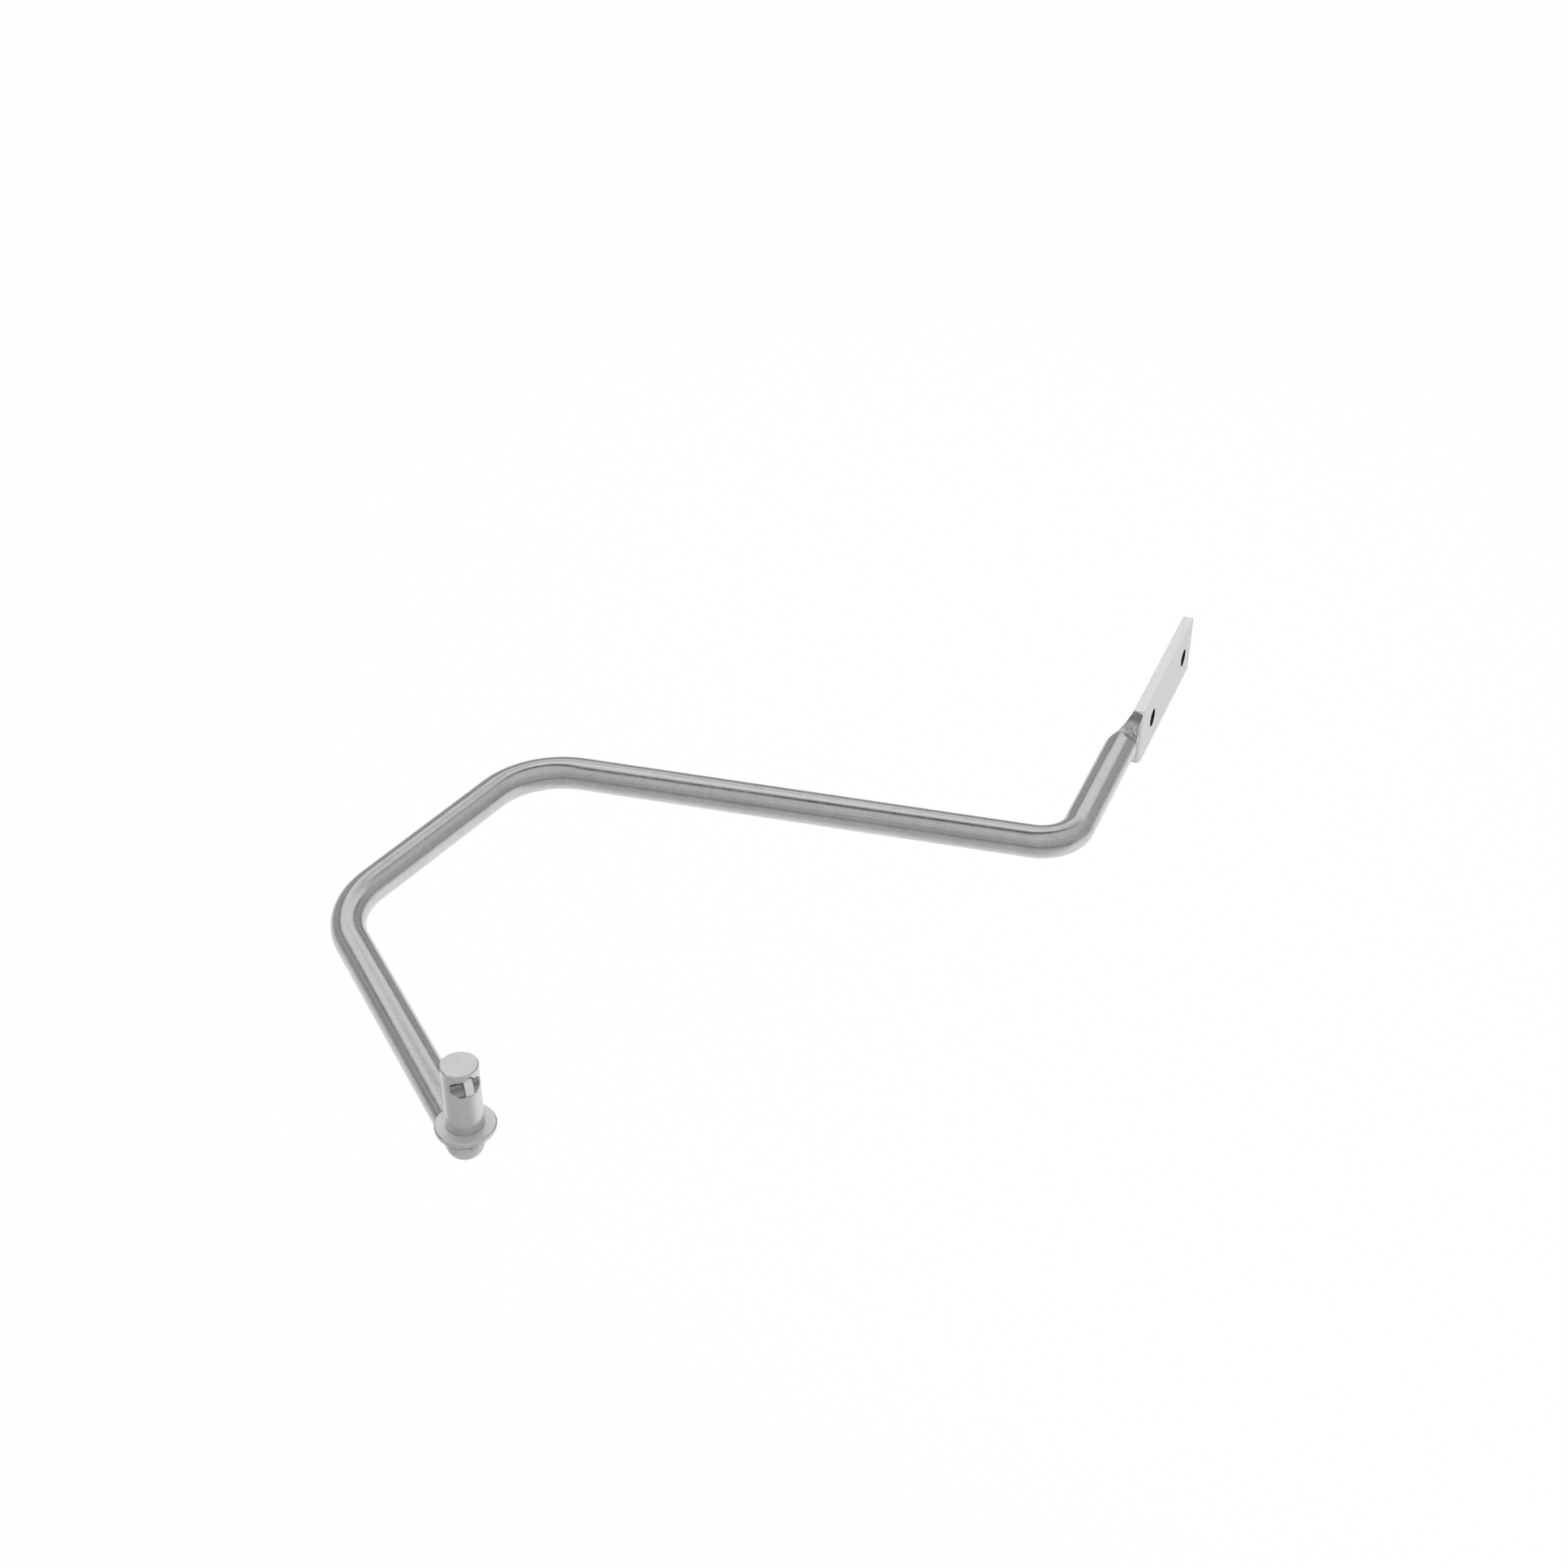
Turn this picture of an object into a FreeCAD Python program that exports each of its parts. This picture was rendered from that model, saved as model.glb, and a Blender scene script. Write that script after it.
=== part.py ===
import FreeCAD, Part
import math
import os

import Sketcher

# Bent round bar arm with a two-hole mounting plate welded to one end and a
# turned pin on a collar at the other.  Millimetres.
#
# Frame: the origin is the middle of the two plate holes on the plate's
# mounting face.  +X points out of that face, +Y runs along the plate away
# from the bar, and +Z is up, along the pin.  The bar's centre line lies in
# the plane Z = 0.

DIMENSIONS = {
    # the round bar and its bent path, listed from the pin end to the plate
    "bar_diameter": 12.0,
    "run_at_pin": 106.3,
    "turn_near_pin": 60.0,
    "radius_near_pin": 32.0,
    "run_second": 66.3,
    "turn_middle": 72.0,
    "radius_middle": 29.5,
    "run_long": 168.6,
    "turn_near_plate": 82.0,
    "radius_near_plate": 15.2,
    "run_at_plate": 65.2,
    "scarf_length": 13.0,
    "scarf_depth": 8.4,
    # the flat plate with its two holes
    "plate_width": 23.5,
    "plate_thickness": 4.2,
    "hole_diameter": 7.0,
    "hole_spacing": 48.5,
    "margin_near_bar": 16.0,
    "margin_far_end": 12.5,
    "plate_edge_break": 0.15,
    "plate_end_radius": 2.0,
    # the weld between bar and plate
    "weld_length": 8.0,
    "weld_step": 0.25,
    "weld_on_scarf": 0.6,
    "weld_below_edge": 0.5,
    "weld_below_face": 0.15,
    "weld_flare_radius": 9.0,
    # the turned pin
    "pin_offset": 2.4,
    "pin_diameter": 11.5,
    "pin_height": 23.0,
    "pin_chamfer": 0.3,
    "neck_diameter": 10.8,
    "spigot_diameter": 5.0,
    "spigot_depth": 7.0,
    "spigot_clearance": 0.02,
    "groove_diameter": 6.2,
    "groove_reach": 3.1,
    "groove_below_top": 5.3,
    "slot_width": 2.6,
    "slot_height": 7.6,
    "slot_above_groove": 0.5,
    "slot_floor": 3.0,
    "slot_offset": -0.9,
    "key_foot_below_groove": 3.2,
    "key_knee_below_groove": 0.6,
    "key_top_above_groove": 1.9,
    "key_back": 2.0,
    "key_front_foot": 5.25,
    "key_front_knee": 4.9,
    "key_front_top": 3.5,
    "key_clearance": 0.02,
    # the bevelled collar, its spot-faced seat and the weld under it
    "collar_diameter": 18.6,
    "collar_thickness": 3.2,
    "collar_chamfer": 0.35,
    "bevel_height": 1.7,
    "bevel_width": 2.2,
    "recess_depth": 0.8,
    "recess_clearance": 0.1,
    "seat_depth": 0.2,
    "seat_margin": 1.0,
    "bead_top_radius": 7.0,
    "bead_bottom_radius": 5.2,
    "bead_height": 3.0,
}

doc = FreeCAD.newDocument("bent_bar_arm")


def make_sheet(dimensions):
    """One row per driving dimension: its name, and its value under an alias."""
    sheet = doc.addObject("Spreadsheet::Sheet", "dims")
    for row, (name, value) in enumerate(dimensions.items(), start=1):
        sheet.set("A%d" % row, name)
        sheet.set("B%d" % row, str(value))
        sheet.setAlias("B%d" % row, name)
    doc.recompute()
    return sheet


dims = make_sheet(DIMENSIONS)


def number(expression):
    """The value of a sheet expression, as a plain number in mm or degrees."""
    value = dims.evalExpression(expression)
    return float(getattr(value, "Value", value))


# ---- sketch and body helpers ------------------------------------------------

def new_body(label):
    body = doc.addObject("PartDesign::Body", label)
    body.Label = label
    return body


def new_sketch(body, name, plane, offset="0"):
    """A sketch on one of the body's own origin planes, moved along its normal."""
    sketch = body.newObject("Sketcher::SketchObject", name)
    support = [f for f in body.Origin.OriginFeatures if f.Role == plane][0]
    sketch.AttachmentSupport = [(support, "")]
    sketch.MapMode = "FlatFace"
    if offset != "0":
        sketch.setExpression("AttachmentOffset.Base.z", offset)
    doc.recompute()
    return sketch


def bind(sketch, constraint, name, expression):
    """Add a dimension constraint and tie it to the sheet."""
    index = sketch.addConstraint(constraint)
    sketch.renameConstraint(index, name)
    sketch.setExpression("Constraints." + name, expression)


def pin_point(sketch, geometry, end, name, across, up):
    """Hold one point of the sketch at two sheet expressions from the origin."""
    for axis, kind, text in ((-2, "DistanceX", across), (-1, "DistanceY", up)):
        if text == "0":
            sketch.addConstraint(Sketcher.Constraint("PointOnObject", geometry, end, axis))
        else:
            link = Sketcher.Constraint(kind, -1, 1, geometry, end, number(text))
            bind(sketch, link, "%s_%s" % (name, kind[-1].lower()), text)


def draw_outline(sketch, corners, bulges=None):
    """A closed outline through corners given as sheet expressions.

    bulges maps a side's number to (radius expression, centre), where the
    centre side is +1 or -1: left or right of the side's own direction.
    """
    bulges = bulges or {}
    spots = [FreeCAD.Vector(number(x), number(y), 0) for x, y in corners]
    count = len(spots)
    for side in range(count):
        start, end = spots[side], spots[(side + 1) % count]
        if side not in bulges:
            sketch.addGeometry(Part.LineSegment(start, end))
            continue
        radius_text, turn = bulges[side]
        radius = number(radius_text)
        chord = end - start
        normal = FreeCAD.Vector(-chord.y, chord.x, 0).normalize() * turn
        depth = math.sqrt(radius ** 2 - (chord.Length / 2) ** 2)
        centre = (start + end) * 0.5 + normal * depth
        middle = centre - normal * radius
        sketch.addGeometry(Part.Arc(start, middle, end))
    for side in range(count):
        follower = (side + 1) % count
        leaving = end_of(sketch, side, spots[follower])
        entering = end_of(sketch, follower, spots[follower])
        sketch.addConstraint(Sketcher.Constraint("Coincident", side, leaving, follower, entering))
    for side, (across, up) in enumerate(corners):
        pin_point(sketch, side, end_of(sketch, side, spots[side]), "corner%d" % side, across, up)
    for side, (radius_text, turn) in bulges.items():
        link = Sketcher.Constraint("Radius", side, number(radius_text))
        bind(sketch, link, "bulge%d" % side, radius_text)


def end_of(sketch, geometry, spot):
    """Which end of a line or arc lies at a spot: an arc may be stored reversed."""
    first = sketch.getPoint(geometry, 1)
    return 1 if (first - spot).Length < 1e-6 else 2


def draw_circle(sketch, name, diameter, across="0", up="0"):
    """A circle whose diameter and centre are tied to the sheet."""
    centre = FreeCAD.Vector(number(across), number(up), 0)
    radius = number(diameter) / 2
    index = sketch.addGeometry(Part.Circle(centre, FreeCAD.Vector(0, 0, 1), radius))
    pin_point(sketch, index, 3, name, across, up)
    bind(sketch, Sketcher.Constraint("Diameter", index, 2 * radius), name, diameter)


def pad(body, name, sketch, length, reverse=False, middle=False):
    feature = body.newObject("PartDesign::Pad", name)
    feature.Profile = sketch
    feature.setExpression("Length", length)
    feature.Reversed = reverse
    feature.Midplane = middle
    doc.recompute()
    return feature


def pocket_through(body, name, sketch, reverse=False, middle=False):
    """Cut the sketch out of the body right through, and make sure it did cut."""
    before = body.Shape.Volume
    feature = body.newObject("PartDesign::Pocket", name)
    feature.Profile = sketch
    feature.Type = "ThroughAll"
    feature.Reversed = reverse
    feature.Midplane = middle
    doc.recompute()
    if body.Shape.Volume > before - 1e-6:
        raise RuntimeError(name + " removes nothing")
    return feature


def revolve(body, name, sketch, axis):
    """Turn the sketch a full turn about one of its own axes, H_Axis or V_Axis."""
    feature = body.newObject("PartDesign::Revolution", name)
    feature.Profile = sketch
    feature.ReferenceAxis = (sketch, [axis])
    feature.Angle = 360
    doc.recompute()
    return feature


def finish_edges(body, kind, name, prop, size, chosen):
    """Fillet or chamfer the tip's edges that the test chooses."""
    base = body.Tip
    names = ["Edge%d" % (i + 1) for i, edge in enumerate(base.Shape.Edges) if chosen(edge)]
    feature = body.newObject("PartDesign::" + kind, name)
    feature.Base = (base, names)
    feature.setExpression(prop, size)
    doc.recompute()
    return feature


def break_edges(body, name, size, chosen):
    return finish_edges(body, "Chamfer", name, "Size", size, chosen)


def round_edges(body, name, size, chosen):
    return finish_edges(body, "Fillet", name, "Radius", size, chosen)


# ---- where the pin end lies -------------------------------------------------
# The plate fixes one end of the bar.  Going back along the bends gives the
# other end, so its place is a sum of the runs and of the arcs between them.

BENDS = [("turn_near_pin", "radius_near_pin", -1),
         ("turn_middle", "radius_middle", -1),
         ("turn_near_plate", "radius_near_plate", 1)]
RUNS = ["run_at_pin", "run_second", "run_long", "run_at_plate"]


def heading(run):
    """Direction of a run from +X, in degrees; the last one runs along +Y."""
    text = "90"
    for turn, radius, side in BENDS[run:]:
        text += " %s dims.%s" % ("-" if side > 0 else "+", turn)
    return "(%s)" % text


def way_to_plate(axis):
    """Distance along X or Y from the rounded end's centre to the bar's far end."""
    along, across = ("cos", "-sin") if axis == "x" else ("sin", "cos")
    terms = ["dims.%s * %s(%s)" % (name, along, heading(i)) for i, name in enumerate(RUNS)]
    for i, (turn, radius, side) in enumerate(BENDS):
        swing = "%s(%s) - (%s(%s))" % (across, heading(i), across, heading(i + 1))
        terms.append("%d * dims.%s * (%s)" % (side, radius, swing))
    return "(%s)" % " + ".join(terms)


PLATE_NEAR = "(-dims.hole_spacing / 2 - dims.margin_near_bar)"
PLATE_FAR = "(dims.hole_spacing / 2 + dims.margin_far_end)"
BAR_LINE = "(-dims.bar_diameter / 2)"
END_X = "(%s - %s)" % (BAR_LINE, way_to_plate("x"))
END_Y = "(%s - %s)" % (PLATE_NEAR, way_to_plate("y"))


def place_at_pin_end(thing, back):
    """Put a piece's own frame at the pin end, +X along the first run."""
    turn = FreeCAD.Rotation(FreeCAD.Vector(0, 0, 1), number(heading(0)))
    thing.Placement = FreeCAD.Placement(FreeCAD.Vector(0, 0, 0), turn)
    thing.setExpression("Placement.Base.x", "%s - %s * cos(%s)" % (END_X, back, heading(0)))
    thing.setExpression("Placement.Base.y", "%s - %s * sin(%s)" % (END_Y, back, heading(0)))
    thing.setExpression("Placement.Rotation.Angle", heading(0))
    doc.recompute()


# ---- heights along the pin --------------------------------------------------

SEAT = "(dims.bar_diameter / 2 - dims.seat_depth)"
SHOULDER = "(%s + dims.collar_thickness)" % SEAT
PIN_TOP = "(%s + dims.pin_height)" % SHOULDER
GROOVE = "(%s - dims.groove_below_top)" % PIN_TOP
KEY_LOW = "(%s - dims.key_foot_below_groove)" % GROOVE
KEY_KNEE = "(%s - dims.key_knee_below_groove)" % GROOVE
KEY_HIGH = "(%s + dims.key_top_above_groove)" % GROOVE


# ---- the bent bar -----------------------------------------------------------

def draw_centreline(sketch):
    """Straight runs joined by tangent arcs, from the origin along +X."""
    spot = FreeCAD.Vector(0, 0, 0)
    angle = 0.0
    index = -1
    for i, run in enumerate(RUNS):
        way = FreeCAD.Vector(math.cos(angle), math.sin(angle), 0)
        after = spot + way * number("dims." + run)
        index = sketch.addGeometry(Part.LineSegment(spot, after))
        bind(sketch, Sketcher.Constraint("Distance", index, number("dims." + run)), run, "dims." + run)
        if i == 0:
            sketch.addConstraint(Sketcher.Constraint("Coincident", index, 1, -1, 1))
            sketch.addConstraint(Sketcher.Constraint("Horizontal", index))
        else:
            join_tangent(sketch, index - 1, index, spot)
        spot = after
        if i == len(BENDS):
            break
        turn, radius, side = BENDS[i]
        swing = side * math.radians(number("dims." + turn))
        size = number("dims." + radius)
        left = FreeCAD.Vector(-way.y, way.x, 0) * side
        centre = spot + left * size
        middle = centre + turned(spot - centre, swing / 2)
        after = centre + turned(spot - centre, swing)
        index = sketch.addGeometry(Part.Arc(spot, middle, after))
        join_tangent(sketch, index - 1, index, spot)
        bind(sketch, Sketcher.Constraint("Radius", index, size), radius, "dims." + radius)
        bind(sketch, Sketcher.Constraint("Angle", index, abs(swing)), turn, "dims.%s * 1 deg" % turn)
        spot = after
        angle += swing


def turned(vector, angle):
    """A vector in the sketch plane turned by an angle in radians."""
    c, s = math.cos(angle), math.sin(angle)
    return FreeCAD.Vector(vector.x * c - vector.y * s, vector.x * s + vector.y * c, 0)


def join_tangent(sketch, first, second, spot):
    ends = end_of(sketch, first, spot), end_of(sketch, second, spot)
    sketch.addConstraint(Sketcher.Constraint("Tangent", first, ends[0], second, ends[1]))


def make_bar_blank():
    """The bar as bent: pipe, rounded end, spot face and the pin's hole."""
    body = new_body("bar_blank")
    line = new_sketch(body, "centreline", "XY_Plane")
    draw_centreline(line)
    section = new_sketch(body, "bar_section", "YZ_Plane")
    draw_circle(section, "bar_diameter", "dims.bar_diameter")
    doc.recompute()
    pipe = body.newObject("PartDesign::AdditivePipe", "bent_length")
    pipe.Profile = section
    pipe.Spine = (line, [])
    doc.recompute()

    dome = new_sketch(body, "dome_outline", "XY_Plane")
    radius = "dims.bar_diameter / 2"
    draw_outline(dome, [("0", "0"), ("0", radius), ("-" + radius, "0")], {1: (radius, 1)})
    revolve(body, "rounded_end", dome, "H_Axis")

    seat = new_sketch(body, "seat_circle", "XY_Plane", SEAT)
    draw_circle(seat, "seat", "dims.collar_diameter + 2 * dims.seat_margin", "-dims.pin_offset")
    pocket_through(body, "spot_face", seat, reverse=True)
    hole = new_sketch(body, "spigot_circle", "XY_Plane", "%s - dims.spigot_depth" % SEAT)
    draw_circle(hole, "bore", "dims.spigot_diameter + dims.spigot_clearance", "-dims.pin_offset")
    pocket_through(body, "spigot_hole", hole, reverse=True)
    place_at_pin_end(body, "0")
    return body


def make_scarf_block():
    """What the scarf takes off the side of the bar away from the mounting face."""
    body = new_body("scarf_block")
    outline = new_sketch(body, "scarf_outline", "XY_Plane")
    bar_side = "-dims.bar_diameter"
    start = "%s - dims.scarf_length" % PLATE_NEAR
    draw_outline(outline, [
        (bar_side, start),
        ("%s + dims.scarf_depth" % bar_side, PLATE_NEAR),
        ("%s + dims.scarf_depth" % bar_side, "%s + 1" % PLATE_NEAR),
        ("%s - dims.bar_diameter" % bar_side, "%s + 1" % PLATE_NEAR),
        ("%s - dims.bar_diameter" % bar_side, start),
    ])
    pad(body, "scarf_depth", outline, "2 * dims.bar_diameter", middle=True)
    return body


def cut(label, base, tool):
    """Part cut of two objects, under a name of its own."""
    piece = doc.addObject("Part::Cut", label)
    piece.Base = base
    piece.Tool = tool
    piece.Label = label
    doc.recompute()
    return piece


# ---- the plate --------------------------------------------------------------

def make_plate():
    body = new_body("mounting_plate")
    outline = new_sketch(body, "plate_outline", "YZ_Plane")
    half = "dims.plate_width / 2"
    draw_outline(outline, [(PLATE_NEAR, "-" + half), (PLATE_FAR, "-" + half),
                           (PLATE_FAR, half), (PLATE_NEAR, half)])
    for name, place in (("near_hole", "-dims.hole_spacing / 2"), ("far_hole", "dims.hole_spacing / 2")):
        draw_circle(outline, name, "dims.hole_diameter", place)
    pad(body, "plate_stock", outline, "dims.plate_thickness", reverse=True)
    round_edges(body, "rounded_end_edge", "dims.plate_end_radius", is_face_end_edge)
    break_edges(body, "plate_edges", "dims.plate_edge_break", lies_on_back_or_sides)
    return body


def is_face_end_edge(edge):
    """True for the mounting face's edge at the end by the bar."""
    box = edge.BoundBox
    return abs(box.XMax) < 1e-6 and box.YMax < number(PLATE_NEAR) + 1e-6 and box.XLength < 1e-6


def lies_on_back_or_sides(edge):
    """True for the straight edges of the back, and for those left along the mounting face."""
    box = edge.BoundBox
    return box.XLength < 1e-6 and not edge.Closed and box.YMax > number(PLATE_NEAR) + 0.01


# ---- the turned pin and its key ---------------------------------------------

def make_pin():
    body = new_body("turned_pin")
    profile = new_sketch(body, "pin_profile", "XZ_Plane")
    shank, neck, spigot = ("dims.%s_diameter / 2" % name for name in ("pin", "neck", "spigot"))
    foot = "%s - dims.spigot_depth" % SEAT
    rest = "%s - dims.recess_depth" % SHOULDER
    draw_outline(profile, [
        ("0", foot), (spigot, foot), (spigot, rest), (neck, rest), (neck, SHOULDER), (shank, SHOULDER),
        (shank, "%s - dims.pin_chamfer" % PIN_TOP), ("%s - dims.pin_chamfer" % shank, PIN_TOP), ("0", PIN_TOP),
    ])
    revolve(body, "turned_shape", profile, "V_Axis")

    groove = new_sketch(body, "groove_circle", "XZ_Plane")
    depth_line = "-dims.groove_reach - dims.groove_diameter / 2"
    draw_circle(groove, "groove", "dims.groove_diameter", depth_line, GROOVE)
    pocket_through(body, "cross_groove", groove, middle=True)

    slot = new_sketch(body, "slot_outline", "YZ_Plane", "-dims.slot_floor")
    half, straight = "dims.slot_width / 2", "(dims.slot_height - dims.slot_width) / 2"
    left, right = "dims.slot_offset - %s" % half, "dims.slot_offset + %s" % half
    middle = "%s + dims.slot_above_groove" % GROOVE
    low, high = "%s - %s" % (middle, straight), "%s + %s" % (middle, straight)
    draw_outline(slot, [(left, low), (right, low), (right, high), (left, high)],
                 {0: ("%s + 0.0001" % half, 1), 2: ("%s + 0.0001" % half, 1)})
    pocket_through(body, "round_ended_slot", slot)

    bed = new_sketch(body, "key_bed_outline", "XZ_Plane", "-dims.slot_offset")
    low, high = "%s - dims.key_clearance" % KEY_LOW, "%s + dims.key_clearance" % KEY_HIGH
    back = "-dims.key_back + dims.key_clearance"
    front = "-dims.pin_diameter"
    draw_outline(bed, [(front, low), (back, low), (back, high), (front, high)])
    before = body.Shape.Volume
    cut_out = body.newObject("PartDesign::Pocket", "key_bed")
    cut_out.Profile = bed
    cut_out.Midplane = True
    cut_out.setExpression("Length", "dims.slot_width")
    doc.recompute()
    if body.Shape.Volume > before - 1e-6:
        raise RuntimeError("key_bed removes nothing")
    place_at_pin_end(body, "dims.pin_offset")
    return body


def make_key():
    """The short key let into the slot's floor: upright in front, then sloping back above a knee."""
    body = new_body("slot_key")
    side = new_sketch(body, "key_side", "XZ_Plane", "-dims.slot_offset")
    draw_outline(side, [("-dims.key_front_foot", KEY_LOW), ("-dims.key_back", KEY_LOW),
                        ("-dims.key_back", KEY_HIGH), ("-dims.key_front_top", KEY_HIGH),
                        ("-dims.key_front_knee", KEY_KNEE)])
    pad(body, "key_width", side, "dims.slot_width - 2 * dims.key_clearance", middle=True)
    place_at_pin_end(body, "dims.pin_offset")
    return body


# ---- the collar and the weld under it ---------------------------------------

def make_collar():
    """A turned ring with a wide bevel underneath and a shallow recess for the pin."""
    body = new_body("thrust_collar")
    profile = new_sketch(body, "collar_profile", "XZ_Plane")
    bore = "(dims.spigot_diameter + dims.spigot_clearance) / 2"
    recess = "(dims.pin_diameter + dims.recess_clearance) / 2"
    rim = "dims.collar_diameter / 2"
    floor = "%s - dims.recess_depth" % SHOULDER
    draw_outline(profile, [
        (bore, SEAT), ("%s - dims.bevel_width" % rim, SEAT), (rim, "%s + dims.bevel_height" % SEAT),
        (rim, "%s - dims.collar_chamfer" % SHOULDER), ("%s - dims.collar_chamfer" % rim, SHOULDER),
        (recess, SHOULDER), (recess, floor), (bore, floor),
    ])
    revolve(body, "collar_shape", profile, "V_Axis")
    place_at_pin_end(body, "dims.pin_offset")
    return body


def make_pin_bead(bar, pin):
    """The weld bead in the corner between the collar and the bar."""
    cone = doc.addObject("Part::Cone", "bead_cone")
    cone.setExpression("Radius1", "dims.bead_bottom_radius")
    cone.setExpression("Radius2", "dims.bead_top_radius")
    cone.setExpression("Height", "dims.bead_height")
    place_at_pin_end(cone, "dims.pin_offset")
    cone.setExpression("Placement.Base.z", "%s - dims.bead_height" % SEAT)
    doc.recompute()
    return cut("pin_weld", cut("bead_round_bar", cone, bar), pin)


# ---- the weld between the bar and the plate ---------------------------------

def make_plate_weld(bar, plate):
    """Weld metal that flares from the scarfed bar up the plate's end.

    It is drawn about the bar's own axis, with the plate's end at Y = 0.
    """
    body = new_body("weld_metal")
    body.setExpression("Placement.Base.x", BAR_LINE)
    body.setExpression("Placement.Base.y", PLATE_NEAR)
    doc.recompute()
    flare = new_sketch(body, "flare_profile", "XY_Plane")
    start, bar_side = "-dims.weld_length", "dims.bar_diameter / 2"
    draw_outline(flare, [("0", start), ("%s + dims.weld_step" % bar_side, start),
                         ("dims.plate_width / 2 - dims.weld_below_edge", "0"), ("0", "0")],
                 {1: ("dims.weld_flare_radius", -1)})
    revolve(body, "flare", flare, "V_Axis")

    face_side = new_sketch(body, "face_side_outline", "XY_Plane")
    outer, inner = "dims.plate_width", "%s - dims.weld_below_face" % bar_side
    draw_outline(face_side, [(inner, "-" + outer), (outer, "-" + outer), (outer, outer), (inner, outer)])
    pocket_through(body, "flush_with_face", face_side, middle=True)

    scarf_side = new_sketch(body, "scarf_side_outline", "XY_Plane")
    plate_back = "dims.bar_diameter / 2 - dims.plate_thickness"
    scarfed = "dims.scarf_depth * (1 - dims.weld_length / dims.scarf_length)"
    shoulder = "%s - %s - dims.weld_on_scarf" % (scarfed, bar_side)
    draw_outline(scarf_side, [(shoulder, "-" + outer), (shoulder, start), (plate_back, "0"),
                              (plate_back, outer), ("-" + outer, outer), ("-" + outer, "-" + outer)])
    pocket_through(body, "neck", scarf_side, middle=True)
    return cut("plate_weld", cut("weld_round_bar", body, bar), plate)


# ---- build, check and write -------------------------------------------------

blank = make_bar_blank()
bar = cut("bent_bar", blank, make_scarf_block())
plate = make_plate()
pin = make_pin()
key = make_key()
collar = make_collar()
pin_weld = make_pin_bead(bar, pin)
plate_weld = make_plate_weld(bar, plate)
PIECES = [bar, plate, plate_weld, collar, pin, key, pin_weld]

doc.recompute()
for item in doc.Objects:
    if "Invalid" in item.State or "Error" in item.State:
        raise RuntimeError("%s failed: %s" % (item.Label, item.State))
os.makedirs("parts", exist_ok=True)
for piece in PIECES:
    shape = piece.Shape
    if shape.isNull() or not shape.isValid():
        raise RuntimeError(piece.Label + " has no valid shape")
    shape.exportStep("parts/%s.step" % piece.Label)
    box = shape.BoundBox
    print("%-16s solids %d  volume %9.1f  X %7.1f..%6.1f  Y %7.1f..%6.1f  Z %6.1f..%5.1f" % (
        piece.Label, len(shape.Solids), shape.Volume, box.XMin, box.XMax, box.YMin, box.YMax, box.ZMin, box.ZMax))
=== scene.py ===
# %% [markdown]
# A bent bar arm, finished in Blender.
#
# The arm is one round stainless bar, bent three times in a plane, with a drilled
# plate welded to one end and a turned pin on a collar at the other.  Its shapes
# come from a CAD model that is already the right size and in the right place.
# This lesson loads that frame, makes the welds again as rough weld metal, gives
# every piece its own steel, and sets up a camera, a floor and soft lights.

import math

import bpy
import numpy as np
from mathutils import Matrix, Vector


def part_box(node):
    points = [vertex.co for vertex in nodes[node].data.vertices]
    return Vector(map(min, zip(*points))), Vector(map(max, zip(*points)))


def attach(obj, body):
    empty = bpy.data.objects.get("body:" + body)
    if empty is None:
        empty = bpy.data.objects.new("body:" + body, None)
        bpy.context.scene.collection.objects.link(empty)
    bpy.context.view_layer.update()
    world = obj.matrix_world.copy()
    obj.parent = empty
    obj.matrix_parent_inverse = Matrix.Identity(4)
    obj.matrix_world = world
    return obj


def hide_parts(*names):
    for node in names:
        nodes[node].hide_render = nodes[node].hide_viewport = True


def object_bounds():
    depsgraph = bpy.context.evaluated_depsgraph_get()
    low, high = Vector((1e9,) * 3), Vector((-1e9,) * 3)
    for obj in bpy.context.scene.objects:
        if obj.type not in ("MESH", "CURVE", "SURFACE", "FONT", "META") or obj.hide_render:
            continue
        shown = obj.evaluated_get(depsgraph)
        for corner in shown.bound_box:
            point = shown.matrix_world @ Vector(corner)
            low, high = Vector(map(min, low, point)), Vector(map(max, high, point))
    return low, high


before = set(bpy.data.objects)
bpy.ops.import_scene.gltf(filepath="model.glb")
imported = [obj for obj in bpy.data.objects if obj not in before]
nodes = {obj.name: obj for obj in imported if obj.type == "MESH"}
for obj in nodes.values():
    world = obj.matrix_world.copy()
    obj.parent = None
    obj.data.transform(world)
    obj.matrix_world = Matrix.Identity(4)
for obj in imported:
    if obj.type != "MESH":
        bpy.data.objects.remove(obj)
cad_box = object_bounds()
MM = 0.001
for name in sorted(nodes):
    low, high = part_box(name)
    print("%-15s %s mm" % (name, [round((b - a) / MM, 1) for a, b in zip(low, high)]))

# %% [markdown]
# The camera comes first, so that every later choice can be looked at.  A camera
# can be aimed with a constraint, but a constraint leaves its result outside the
# object.  Here the view is given as three plain angles in words: which way it
# looks round the horizon, how far it looks down, and no roll.  The lens is an
# ordinary 50 mm one on a 36 mm wide sensor.

# %% Camera
VIEW_HEADING = math.radians(112.6)
VIEW_DOWN = math.radians(34.41)
EYE = Vector((0.1414, -0.7358, 0.4560))


def aim(eye, heading, down):
    """World matrix of a camera at eye, looking along the heading and downwards."""
    level = Vector((math.cos(heading), math.sin(heading), 0.0))
    look = level * math.cos(down) - Vector((0.0, 0.0, math.sin(down)))
    turn = look.to_track_quat("-Z", "Y")
    return Matrix.Translation(eye) @ turn.to_matrix().to_4x4()


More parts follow.
